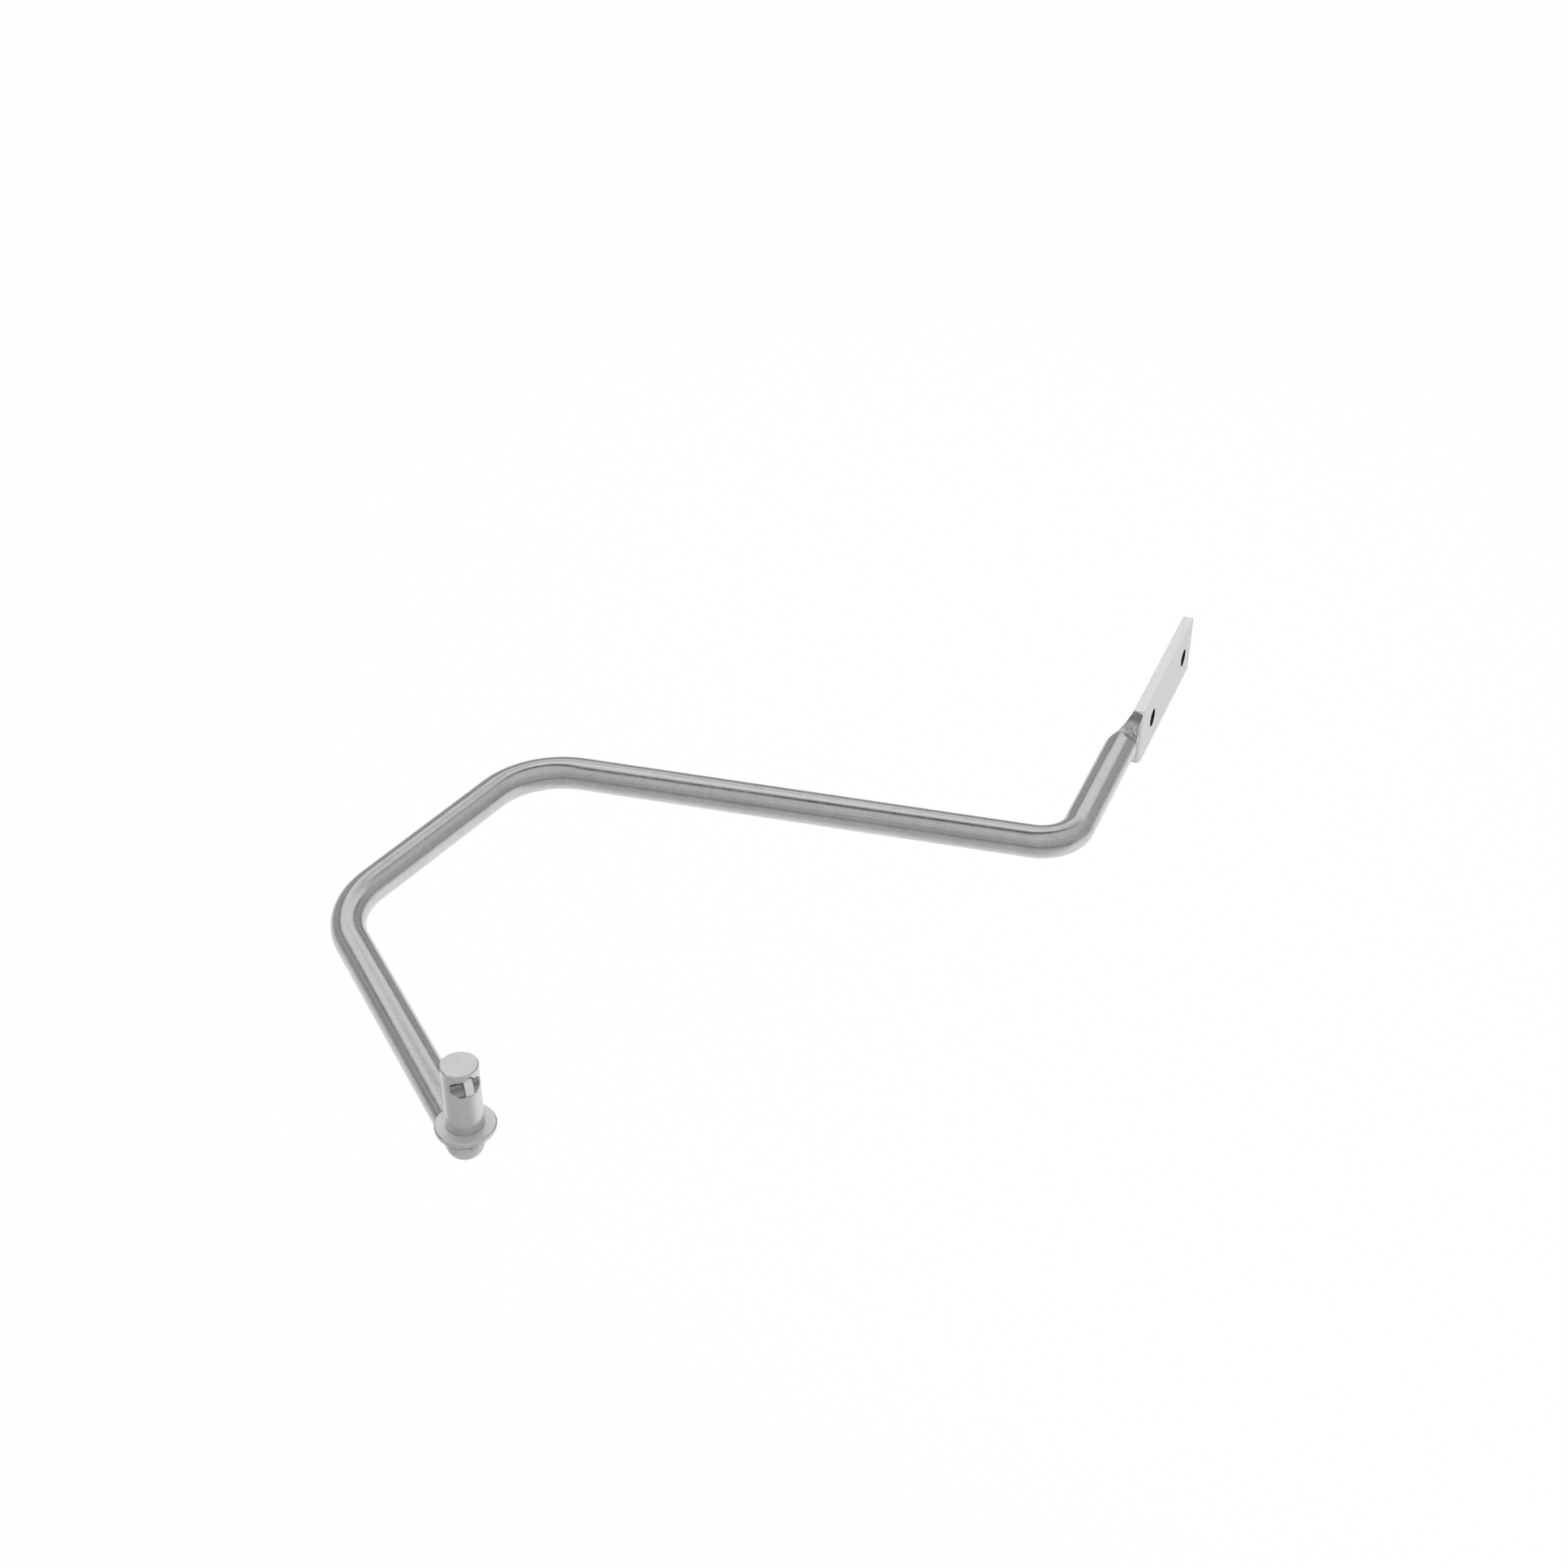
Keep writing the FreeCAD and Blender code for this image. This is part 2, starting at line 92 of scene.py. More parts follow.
camera_data = bpy.data.cameras.new("camera")
camera_data.lens = 50.0
camera_data.sensor_width = 36.0
camera_data.clip_end = 20.0
camera = bpy.data.objects.new("camera", camera_data)
camera.matrix_world = aim(EYE, VIEW_HEADING, VIEW_DOWN)
bpy.context.scene.collection.objects.link(camera)
bpy.context.scene.camera = camera
bpy.context.scene.view_settings.view_transform = "Standard"
print("camera at", [round(v, 3) for v in EYE])

# %% [markdown]
# A node tree is easier to read when each node is one line.  These two helpers
# add a node with its values set and join two sockets.  The same pair serves the
# materials and the groups, so nothing in the lesson hides how a tree is wired.

# %% Helpers for node trees
def add(tree, kind, **values):
    """Add a node; a value's name is an input's name, or the node's own setting."""
    node = tree.nodes.new("ShaderNode" + kind)
    for key, value in values.items():
        socket = node.inputs.get(key.replace("_", " "))
        if socket is not None:
            socket.default_value = value
        else:
            setattr(node, key, value)
    return node


def join(tree, source, target):
    """Link one node's output to another node's input."""
    tree.links.new(source, target)


def new_group(name, inputs, outputs):
    """An empty node group with named sockets, and its two end nodes."""
    tree = bpy.data.node_groups.new(name, "ShaderNodeTree")
    for label, kind, default in inputs:
        socket = tree.interface.new_socket(label, in_out="INPUT", socket_type="NodeSocket" + kind)
        if default is not None:
            socket.default_value = default
    for label, kind in outputs:
        tree.interface.new_socket(label, in_out="OUTPUT", socket_type="NodeSocket" + kind)
    return tree, tree.nodes.new("NodeGroupInput"), tree.nodes.new("NodeGroupOutput")


print("helpers made: add, join, new_group")

# %% [markdown]
# Real mill steel is never one even grey.  Under a lamp it shows soft cloudy
# patches a few millimetres across, and inside them a finer grain.  One group
# makes both from two noise textures and gives a mask from 0 to 1, which each
# material then uses for its own colour and roughness.

# %% Group: cloudy metal
def make_cloud_group():
    """Two noise textures, mixed by the grain's share."""
    tree, start, end = new_group(
        "cloudy_metal",
        [("Vector", "Vector", None), ("Patch Scale", "Float", 150.0),
         ("Grain Scale", "Float", 900.0), ("Grain Share", "Float", 0.5)],
        [("Mask", "Float")])
    patch = add(tree, "TexNoise", Detail=3.0, Roughness=0.55)
    grain = add(tree, "TexNoise", Detail=2.0, Roughness=0.6)
    mix = add(tree, "Mix", data_type="FLOAT")
    join(tree, start.outputs["Vector"], patch.inputs["Vector"])
    join(tree, start.outputs["Vector"], grain.inputs["Vector"])
    join(tree, start.outputs["Patch Scale"], patch.inputs["Scale"])
    join(tree, start.outputs["Grain Scale"], grain.inputs["Scale"])
    join(tree, start.outputs["Grain Share"], mix.inputs["Factor"])
    join(tree, patch.outputs["Fac"], mix.inputs["A"])
    join(tree, grain.outputs["Fac"], mix.inputs["B"])
    join(tree, mix.outputs["Result"], end.inputs["Mask"])
    return tree


CLOUD = make_cloud_group()
print("group made:", CLOUD.name)

# %% [markdown]
# Drawn bar, turned pins and rolled plate all carry fine parallel lines.  They
# are the same effect in three directions, so one group makes them: noise whose
# coordinate is squeezed hard across the lines and hardly at all along them.
# Each material says which way its lines run by how it scales the vector.

# %% Group: fine lines
def make_line_group():
    """Noise of a squeezed vector, as a mask and as a bumped normal."""
    tree, start, end = new_group(
        "fine_lines",
        [("Vector", "Vector", None), ("Stretch", "Vector", (1.0, 1.0, 1.0)), ("Depth", "Float", 0.1)],
        [("Mask", "Float"), ("Normal", "Vector")])
    squeeze = add(tree, "VectorMath", operation="MULTIPLY")
    lines = add(tree, "TexNoise", Scale=1.0, Detail=4.0, Roughness=0.65)
    bump = add(tree, "Bump", Distance=0.00005)
    join(tree, start.outputs["Vector"], squeeze.inputs[0])
    join(tree, start.outputs["Stretch"], squeeze.inputs[1])
    join(tree, squeeze.outputs["Vector"], lines.inputs["Vector"])
    join(tree, lines.outputs["Fac"], bump.inputs["Height"])
    join(tree, start.outputs["Depth"], bump.inputs["Strength"])
    join(tree, lines.outputs["Fac"], end.inputs["Mask"])
    join(tree, bump.outputs["Normal"], end.inputs["Normal"])
    return tree


LINES = make_line_group()
print("group made:", LINES.name)

# %% [markdown]
# Every steel here is the same recipe with other numbers: a metal whose colour
# and roughness wander between two values with the cloud mask, and whose normal
# comes from the fine lines.  Keeping it in one function makes the differences
# between the steels easy to compare, because they are all in its arguments.

# %% One recipe for all the steels
MASK_LOW = 0.35
MASK_HIGH = 0.65
LINE_SHARE = 0.4
# Near black, the colour of the painted shade in holes, cuts and creases, and of the weld's darker
# top.
NEAR_BLACK = (0.018, 0.018, 0.020, 1.0)
MATT_ROUGHER = 0.2
MATT_LESS_METAL = 0.4


def steel(name, colours, roughness, stretch, depth, clouds, attribute=None,
          centre=(0, 0, 0), metallic=1.0, darken=None, matt=None):
    """A steel material.

    colours and roughness are (low, high) pairs.  The steel moves between them
    with the cloud mask and the line mask, mixed by LINE_SHARE.  clouds holds
    the patch scale, the grain scale and the grain's share, and stretch squeezes
    the line pattern on each axis.  darken makes a mask in the tree, and where
    that is 1 the steel is near black: painted shade in holes, cuts and creases,
    and a darker top on the weld.  matt makes a mask too: where it is 1 the steel
    is rougher and less metallic, as a face is that was ground or blasted.
    """
    material = bpy.data.materials.new(name)
    material.use_nodes = True
    tree = material.node_tree
    shader = tree.nodes["Principled BSDF"]
    shader.inputs["Metallic"].default_value = metallic
    if attribute:
        where = add(tree, "Attribute", attribute_name=attribute).outputs["Vector"]
    else:
        shift = add(tree, "Mapping", Location=[-c for c in centre])
        join(tree, add(tree, "TexCoord").outputs["Object"], shift.inputs["Vector"])
        where = shift.outputs["Vector"]
    cloud = add(tree, "Group", node_tree=CLOUD)
    for label, value in zip(("Patch Scale", "Grain Scale", "Grain Share"), clouds):
        cloud.inputs[label].default_value = value
    lines = add(tree, "Group", node_tree=LINES)
    lines.inputs["Stretch"].default_value = stretch
    lines.inputs["Depth"].default_value = depth
    join(tree, where, cloud.inputs["Vector"])
    join(tree, where, lines.inputs["Vector"])
    both = add(tree, "Mix", data_type="FLOAT", Factor=LINE_SHARE)
    join(tree, cloud.outputs["Mask"], both.inputs["A"])
    join(tree, lines.outputs["Mask"], both.inputs["B"])
    tint = add(tree, "ValToRGB")
    for stop, place, colour in zip(tint.color_ramp.elements, (MASK_LOW, MASK_HIGH), colours):
        stop.position = place
        stop.color = (*colour, 1.0)
    wear = add(tree, "MapRange", From_Min=MASK_LOW, From_Max=MASK_HIGH,
               To_Min=roughness[0], To_Max=roughness[1])
    join(tree, both.outputs["Result"], tint.inputs["Fac"])
    join(tree, both.outputs["Result"], wear.inputs["Value"])
    colour = tint.outputs["Color"]
    # Painted shade: where the darken mask is 1 the colour turns near black.
    if darken:
        dark_mix = add(tree, "Mix", data_type="RGBA")
        dark_mix.inputs["B"].default_value = NEAR_BLACK
        join(tree, darken(tree), dark_mix.inputs["Factor"])
        join(tree, colour, dark_mix.inputs["A"])
        colour = dark_mix.outputs["Result"]
    join(tree, colour, shader.inputs["Base Color"])
    rough = wear.outputs["Result"]
    if matt:
        mask = matt(tree)
        total = add(tree, "Math", operation="MULTIPLY_ADD")
        total.inputs[1].default_value = MATT_ROUGHER
        metal = add(tree, "Math", operation="MULTIPLY_ADD")
        metal.inputs[1].default_value = -MATT_LESS_METAL
        metal.inputs[2].default_value = metallic
        join(tree, mask, total.inputs[0])
        join(tree, rough, total.inputs[2])
        join(tree, mask, metal.inputs[0])
        join(tree, metal.outputs["Value"], shader.inputs["Metallic"])
        rough = total.outputs["Value"]
    join(tree, rough, shader.inputs["Roughness"])
    join(tree, lines.outputs["Normal"], shader.inputs["Normal"])
    print("steel made:", name)
    return material


def paint(piece, material):
    """Put the material in every slot of a CAD node or a new piece."""
    if not piece.data.materials:
        piece.data.materials.append(material)
    for i in range(len(piece.data.materials)):
        piece.data.materials[i] = material


# %% [markdown]
# The bar is one length of round stock: straight runs joined by bends.  A curve
# with a bevel would draw it quickly, but then nothing on the surface knows how
# far along the bar it is.  A grid that is carried along the path does: its
# first parameter is the way along the bar, its second goes round it.  That way
# is kept as an attribute, so the drawn lines of the steel follow every bend.

# %% The bar's path
HALF = 6.0 * MM
PLATE_END_Y = -40.25 * MM
RUNS = [106.3 * MM, 66.3 * MM, 168.6 * MM, 65.2 * MM]
HEADINGS = [math.radians(a) for a in (140.0, 80.0, 8.0, 90.0)]
BEND_RADII = [32.0 * MM, 29.5 * MM, 15.2 * MM]
PATH_STEP = 0.0012


def lay_path(runs, headings, radii, step=PATH_STEP):
    """Points, headings and distances along straight runs joined by arcs.

    A run moves on by its length in its heading.  In an arc of radius R that
    turns from heading a to b, the place moves by the integral of the heading's
    direction, R (sin b - sin a, cos a - cos b) for a left turn.
    """
    places, ways, spot = [], [], np.zeros(2)
    for i, (length, heading) in enumerate(zip(runs, headings)):
        along = np.linspace(0.0, length, max(2, int(length / (3 * step))))
        places.append(spot + along[:, None] * np.array([math.cos(heading), math.sin(heading)]))
        ways.append(np.full(len(along), heading))
        spot = places[-1][-1]
        if i == len(radii):
            break
        turn = headings[i + 1] - heading
        side = math.copysign(1.0, turn)
        count = max(8, int(abs(turn) * radii[i] / step))
        angle = np.linspace(0.0, turn, count + 2)[1:-1] + heading
        swing = np.stack([np.sin(angle) - math.sin(heading),
                          math.cos(heading) - np.cos(angle)], axis=1)
        places.append(spot + side * radii[i] * swing)
        ways.append(angle)
        last = np.array([math.sin(headings[i + 1]) - math.sin(heading),
                         math.cos(heading) - math.cos(headings[i + 1])])
        spot = spot + side * radii[i] * last
    return np.concatenate(places), np.concatenate(ways)


path, way = lay_path(RUNS, HEADINGS, BEND_RADII)
path = path - path[-1] + np.array([-HALF, PLATE_END_Y])
distance = np.concatenate([[0.0], np.cumsum(np.linalg.norm(np.diff(path, axis=0), axis=1))])
PIN_END = path[0].copy()
print("bar: %.1f mm along the centre line, rounded end at %s mm"
      % (distance[-1] / MM, np.round(PIN_END / MM, 1)))

# %% [markdown]
# A grid of points becomes a mesh in the same way for every piece in this
# lesson, so the step is a function.  Rows run along the piece and columns go
# round it; the columns close on themselves, and a single point closes each end.

# %% From a grid to a mesh
def skin(name, grid, attribute=None):
    """Mesh from grid[rows, columns, 3], closed round the columns and at both ends.

    Face (i, j) joins points (i, j), (i, j + 1), (i + 1, j + 1) and (i + 1, j),
    with j + 1 counted round.  Each end is a fan to the middle of its row.
    attribute is a name and a grid of vectors, one for each point.
    """
    rows, columns = grid.shape[:2]
    points = np.concatenate([grid.reshape(-1, 3), grid[0].mean(0)[None], grid[-1].mean(0)[None]])
    i, j = np.meshgrid(np.arange(rows - 1), np.arange(columns), indexing="ij")
    k = (j + 1) % columns
    here, above = i * columns, (i + 1) * columns
    quads = np.stack([here + j, here + k, above + k, above + j], -1).reshape(-1, 4)
    ring = np.arange(columns)
    after = (ring + 1) % columns
    first = np.stack([np.full(columns, rows * columns), after, ring], -1)
    base = (rows - 1) * columns
    last = np.stack([np.full(columns, rows * columns + 1), base + ring, base + after], -1)
    mesh = bpy.data.meshes.new(name)
    mesh.from_pydata(points.tolist(), [], quads.tolist() + first.tolist() + last.tolist())
    if attribute is not None:
        label, values = attribute
        tips = [values[0].mean(0)[None], values[-1].mean(0)[None]]
        every = np.concatenate([values.reshape(-1, 3), *tips]).astype(np.float32)
        mesh.attributes.new(label, "FLOAT_VECTOR", "POINT").data.foreach_set("vector", every.ravel())
    mesh.polygons.foreach_set("use_smooth", np.full(len(mesh.polygons), True))
    mesh.update()
    piece = bpy.data.objects.new(name, mesh)
    bpy.context.scene.collection.objects.link(piece)
    print("%s: %d points, %d faces" % (name, len(mesh.vertices), len(mesh.polygons)))
    return piece


print("helper made: skin")

# %% [markdown]
# The end of the bar under the pin is rounded off like a ball.  On the grid this
# is only more rows: rings that shrink as they go past the end of the path.  At
# the other end the bar is ground away on one side to meet the thin plate.  The
# same grid does that too, by not letting a point pass the ground plane, and by
# spreading the columns that meet the plane evenly over it.  Where the weld
# begins, the bar's skin drops by under a millimetre along an uneven line, as it
# does where an arc has bitten into an edge.

# %% The bar
SIDES = 96
BALL_ROWS = 24
BALL_START = 0.04
SCARF_LONG = 13.0 * MM
SCARF_DEEP = 8.4 * MM
SCARF_ROWS = 72
BITE_DEEP = 0.9 * MM
BITE_LONG = 0.7 * MM


def cut_round(p, cut):
    """Height over radius, round a circle whose flat runs from angle -cut to cut.

    It is sin p outside the flat.  On the flat it moves evenly, sin(cut) p / cut,
    so that no two columns fall on one another.
    """
    turn = (p + math.pi) % (2 * math.pi) - math.pi
    flat = np.sin(cut) * turn / np.maximum(cut, 1e-9)
    return np.where(np.abs(turn) < cut, flat, np.sin(turn))


def bar_surface(path, way, distance):
    """Points path + r (cos p * left + sin p * up) for angle p round the bar.

    r is the bar's radius, and R sin q on the ball end, whose rows lie R cos q
    before the path.  The side to the left stops at the scarf plane, which
    crosses the bar from its left side to SCARF_DEEP below it.  Past the line
    8.6 + 0.7 sin(3p + 1) + 0.35 sin 7p mm from the end, r is BITE_DEEP less.
    """
    q = np.linspace(BALL_START, math.pi / 2, BALL_ROWS)[:-1]
    onward = np.array([math.cos(way[0]), math.sin(way[0])])
    ball = path[0] - HALF * np.cos(q)[:, None] * onward
    middle = np.concatenate([ball, path])
    heading = np.concatenate([np.full(len(q), way[0]), way])
    radius = np.concatenate([HALF * np.sin(q), np.full(len(path), HALF)])
    along = np.concatenate([-HALF * np.cos(q), distance])
    p = np.linspace(0.0, 2 * math.pi, SIDES, endpoint=False)
    left_to_go = distance[-1] - along
    line = (8.6 + 0.7 * np.sin(3 * p + 1) + 0.35 * np.sin(7 * p)) * MM
    drop = BITE_DEEP * np.clip((line[None, :] - left_to_go[:, None]) / BITE_LONG, 0.0, 1.0)
    reach = radius[:, None] - drop
    limit = (HALF - SCARF_DEEP * np.clip(1.0 - left_to_go / SCARF_LONG, 0.0, 1.0))[:, None]
    cut = np.arccos(np.clip(limit / reach, -1.0, 1.0))
    to_left = np.minimum(reach * np.cos(p), limit)
    to_top = reach * cut_round(p[None, :], cut)
    left = np.stack([-np.sin(heading), np.cos(heading)], axis=1)
    flat = middle[:, None, :] + to_left[..., None] * left[:, None, :]
    grid = np.concatenate([flat, to_top[..., None]], axis=2)
    lines = np.stack([np.broadcast_to(along[:, None], to_left.shape), to_left, to_top], axis=2)
    return grid, lines


near_plate = np.flatnonzero(distance[-1] - distance > SCARF_LONG)[-1]
extra = np.linspace(0.0, 1.0, SCARF_ROWS)[1:]
closer = path[near_plate] + extra[:, None] * (path[-1] - path[near_plate])
path = np.concatenate([path[:near_plate + 1], closer])
way = np.concatenate([way[:near_plate + 1], np.full(len(extra), way[-1])])
distance = np.concatenate([[0.0], np.cumsum(np.linalg.norm(np.diff(path, axis=0), axis=1))])
bar_grid, bar_lines = bar_surface(path, way, distance)
bar = skin("drawn_bar", bar_grid, attribute=("along_bar", bar_lines))
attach(bar, "root")
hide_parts("bent_bar")

# %% [markdown]
# Weld metal is lumpy: it was poured, a drop at a time, and each drop froze over
# the last.  A displacement modifier could roughen a smooth piece, but its waves
# would look the same everywhere.  Here soft random lumps are added to the shape
# as numbers, with the ripples of the drops on top of them.

# %% Soft random lumps
def lumps(rows, columns, cells, seed):
    """Random heights from -1 to 1 on a coarse grid, blended smoothly in between.

    Between two cells the height moves by 3 t^2 - 2 t^3 of their difference, and
    the last column of cells blends back into the first.
    """
    tall, wide = cells
    rough = np.random.default_rng(seed).uniform(-1.0, 1.0, (tall + 1, wide))
    v, u = np.linspace(0, tall - 1e-6, rows), np.arange(columns) * wide / columns
    i, j = v.astype(int), u.astype(int)
    a, b = v - i, u - j
    a, b = (a * a * (3 - 2 * a))[:, None], (b * b * (3 - 2 * b))[None, :]

    def pick(m, n):
        return rough[np.ix_(m, n % wide)]

    return (pick(i, j) * (1 - a) * (1 - b) + pick(i, j + 1) * (1 - a) * b
            + pick(i + 1, j) * a * (1 - b) + pick(i + 1, j + 1) * a * b)


print("helper made: lumps")

# %% [markdown]
# The weld between bar and plate is a horn: it starts as thin as the bar and
# spreads to the plate's width.  Turned on a lathe it would be round, so its two
# flat sides are cut the way the bar's scarf is, by not letting points pass a
# plane.  Its right side draws back from the plate's rounded corner, except high
# up.  The metal is made darkest there, and painted shade darkens the crease
# where the weld begins; both are kept as an attribute.

# %% The weld on the plate
WELD_LONG = 8.4 * MM


def plate_weld_surface(rows=100, columns=180):
    """Radius 5.6 + 6 t^2 mm about the bar's axis, swept towards the plate by t.

    The left side moves from the scarf to the plate's back, x = -3.2 + 5 t mm
    from the axis, and the right side from 5.85 mm to 4.4 mm.  Lumps and ripples
    push each point outwards.  The darkening is 1 on top, next to the plate, and
    0.9 in the crease where the weld begins, where it is painted shade.
    """
    t = np.linspace(0.0, 1.0, rows)[:, None]
    p = np.linspace(0.0, 2 * math.pi, columns, endpoint=False)[None, :]
    rough = 0.22 * lumps(rows, columns, (5, 18), 3) + 0.14 * lumps(rows, columns, (14, 46), 4)
    wander = lumps(rows, columns, (3, 9), 5)
    drops = 0.10 * np.sin(2 * math.pi * (4.0 * t + 0.35 * np.sin(3 * p) + 0.2 * wander))
    radius = 5.6 + 6.0 * t ** 2 + (rough + drops) * np.sin(math.pi * np.clip(t * 1.15 + 0.05, 0, 1))
    left = -3.2 + 5.0 * t + 0.5 * rough * np.sin(math.pi * t)
    cut = np.arccos(np.clip(-left / radius, -1.0, 1.0))
    z = -radius * cut_round(p - math.pi, cut)
    high = np.clip((z - 7.5) / 2.5, 0, 1)
    right = 5.85 - 1.45 * t + 1.1 * t * high
    x = np.clip(radius * np.cos(p), left, right)
    y = -WELD_LONG / MM * (1 - t) + 0.05 + 0 * p
    grid = np.stack([x * MM - HALF, PLATE_END_Y + y * MM, z * MM], axis=2)
    # Painted shade in the crease where the weld begins.
    crease = 0.9 * np.clip(1.0 - t / 0.16, 0, 1)
    darkening = np.maximum(np.clip((z - 6.5) / 2.0, 0, 1) * np.clip((t - 0.55) / 0.25, 0, 1), crease)
    return grid, np.stack([darkening, darkening, darkening], axis=2)


weld_grid, weld_darkening_grid = plate_weld_surface()
plate_weld = skin("plate_weld_bead", weld_grid[:, ::-1], attribute=("darkening", weld_darkening_grid[:, ::-1]))
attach(plate_weld, "root")
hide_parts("plate_weld")

# %% [markdown]
# The weld under the collar is a ring in the corner between the collar and the
# bar's round end.  It is a hollow curve turned about the pin's axis, and its
# drops lie like scales one after another round the ring.

# %% The weld under the collar
PIN_OFFSET = 2.4 * MM
PIN_X, PIN_Y = PIN_END - PIN_OFFSET * np.array([math.cos(HEADINGS[0]), math.sin(HEADINGS[0])])
SEAT_Z = 5.8 * MM


def pin_weld_surface(rows=36, columns=180):
    """A quarter-round hollow from radius 5.2 mm up to 7.0 mm, turned about the pin.

    The radius is 7.0 - 1.8 sin a and the height 5.8 - 3.0 (1 - cos a) mm, with
    26 scales of a slanted sine round the ring.
    """
    a = np.linspace(math.pi / 2, 0.0, rows)[:, None]
    p = np.linspace(0.0, 2 * math.pi, columns, endpoint=False)[None, :]
    scales = 0.10 * np.sin(26 * p + 2.5 * a) + 0.12 * lumps(rows, columns, (3, 24), 8)
    radius = (7.0 - 1.8 * np.sin(a) + scales * np.sin(2 * a)) * MM
    height = SEAT_Z - 3.0 * MM * (1 - np.cos(a)) + 0 * p
    return np.stack([PIN_X + radius * np.cos(p), PIN_Y + radius * np.sin(p), height], axis=2)


pin_weld = skin("pin_weld_bead", pin_weld_surface())
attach(pin_weld, "root")
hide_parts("pin_weld")

# %% [markdown]
# Three of the steels are darker in places.  The walls of the plate's holes and
# the cuts in the pin get painted shade, and the weld is darker on top next to the
# plate and has painted shade in its crease.  Each mask is a few nodes.  The holes
# and the pin use a distance from an upright or level line, and the weld's
# darkening uses the weld's own attribute.

# %% Masks for the dark places
HOLE_Y = 24.25 * MM
HOLE_WALL = 3.62 * MM
PIN_SKIN = 5.70 * MM
PIN_CUT = 5.40 * MM
PIN_TOP_EDGE = 31.7 * MM
# How dark the painted shade in the pin's cuts gets.
CUT_SHADE_DARK = 0.45
# How dark the weld's top gets next to the plate, and the painted shade in its crease.
DARKENING_MAX = 0.5


# Painted shade: the walls of the plate's holes are made near black.
def hole_wall_shade(tree):
    """1 where sqrt((|y| - HOLE_Y)^2 + z^2) is under HOLE_WALL, otherwise 0."""
    split = add(tree, "SeparateXYZ")
    join(tree, add(tree, "TexCoord").outputs["Object"], split.inputs["Vector"])
    away = add(tree, "Math", operation="ABSOLUTE")
    join(tree, split.outputs["Y"], away.inputs[0])
    beside = add(tree, "Math", operation="SUBTRACT")
    beside.inputs[1].default_value = HOLE_Y
    join(tree, away.outputs["Value"], beside.inputs[0])
    flat = add(tree, "CombineXYZ")
    join(tree, beside.outputs["Value"], flat.inputs["X"])
    join(tree, split.outputs["Z"], flat.inputs["Y"])
    reach = add(tree, "VectorMath", operation="LENGTH")
    join(tree, flat.outputs["Vector"], reach.inputs[0])
    inside = add(tree, "Math", operation="LESS_THAN")
    inside.inputs[1].default_value = HOLE_WALL
    join(tree, reach.outputs["Value"], inside.inputs[0])
    return inside.outputs["Value"]


# Painted shade: the pin's groove and slot grow darker towards their depth.
def pin_cut_shade(tree):
    """CUT_SHADE_DARK within PIN_CUT of the pin's axis, fading to 0 at PIN_SKIN.

    It is 0 above PIN_TOP_EDGE too, so that the pin's top gets no painted shade.
    """
    shift = add(tree, "Mapping", Location=(-PIN_X, -PIN_Y, 0.0))
    join(tree, add(tree, "TexCoord").outputs["Object"], shift.inputs["Vector"])
    split = add(tree, "SeparateXYZ")
    join(tree, shift.outputs["Vector"], split.inputs["Vector"])
    flat = add(tree, "VectorMath", operation="MULTIPLY")
    flat.inputs[1].default_value = (1.0, 1.0, 0.0)
    join(tree, shift.outputs["Vector"], flat.inputs[0])
    reach = add(tree, "VectorMath", operation="LENGTH")
    join(tree, flat.outputs["Vector"], reach.inputs[0])
    deep = add(tree, "MapRange", From_Min=PIN_SKIN, From_Max=PIN_CUT, To_Min=0.0, To_Max=CUT_SHADE_DARK)
    join(tree, reach.outputs["Value"], deep.inputs["Value"])
    below = add(tree, "Math", operation="LESS_THAN")
    below.inputs[1].default_value = PIN_TOP_EDGE
    join(tree, split.outputs["Z"], below.inputs[0])
    both = add(tree, "Math", operation="MULTIPLY")
    join(tree, deep.outputs["Result"], both.inputs[0])
    join(tree, below.outputs["Value"], both.inputs[1])
    return both.outputs["Value"]


# The weld's darker top next to the plate, and the painted shade in its crease.
def weld_darkening(tree):
    """The weld's burn, from 0 to DARKENING_MAX."""
    part = add(tree, "Math", operation="MULTIPLY")
    part.inputs[1].default_value = DARKENING_MAX
    join(tree, add(tree, "Attribute", attribute_name="darkening").outputs["Fac"], part.inputs[0])
    return part.outputs["Value"]


print("dark masks made: hole_wall_shade, pin_cut_shade, burnt")

# %% [markdown]
# Two places are matt instead of dark.  Faces that look straight up on the pin
# and the collar were faced off and blasted, and the bar's round end was ground.

# %% Masks for the matt places
def facing_up(tree):
    """0 up to a normal whose z is 0.90, and 1 from 0.99."""
    facing = add(tree, "SeparateXYZ")
    join(tree, add(tree, "TexCoord").outputs["Normal"], facing.inputs["Vector"])
    mask = add(tree, "MapRange", From_Min=0.90, From_Max=0.99, To_Min=0.0, To_Max=1.0)
    join(tree, facing.outputs["Z"], mask.inputs["Value"])
    return mask.outputs["Result"]


def ground_end(tree):
    """0 from 0.5 mm along the straight bar, and 1 from 2.5 mm out on its end."""
    split = add(tree, "SeparateXYZ")
    along = add(tree, "Attribute", attribute_name="along_bar")
    join(tree, along.outputs["Vector"], split.inputs["Vector"])
    mask = add(tree, "MapRange", From_Min=0.5 * MM, From_Max=-2.5 * MM, To_Min=0.0, To_Max=1.0)
    join(tree, split.outputs["X"], mask.inputs["Value"])
    return mask.outputs["Result"]


print("matt masks made: facing_up, ground_end")

# %% [markdown]
# The steels differ in how they were made.  The bar was drawn through a die, so
# its lines run lengthwise.  The plate and the key were blasted: their surface
# is so finely broken that half of it scatters light like paint.  The pin and
# the collar were turned, so their lines run round the pin.  Weld metal is
# darker, rougher and spotty.

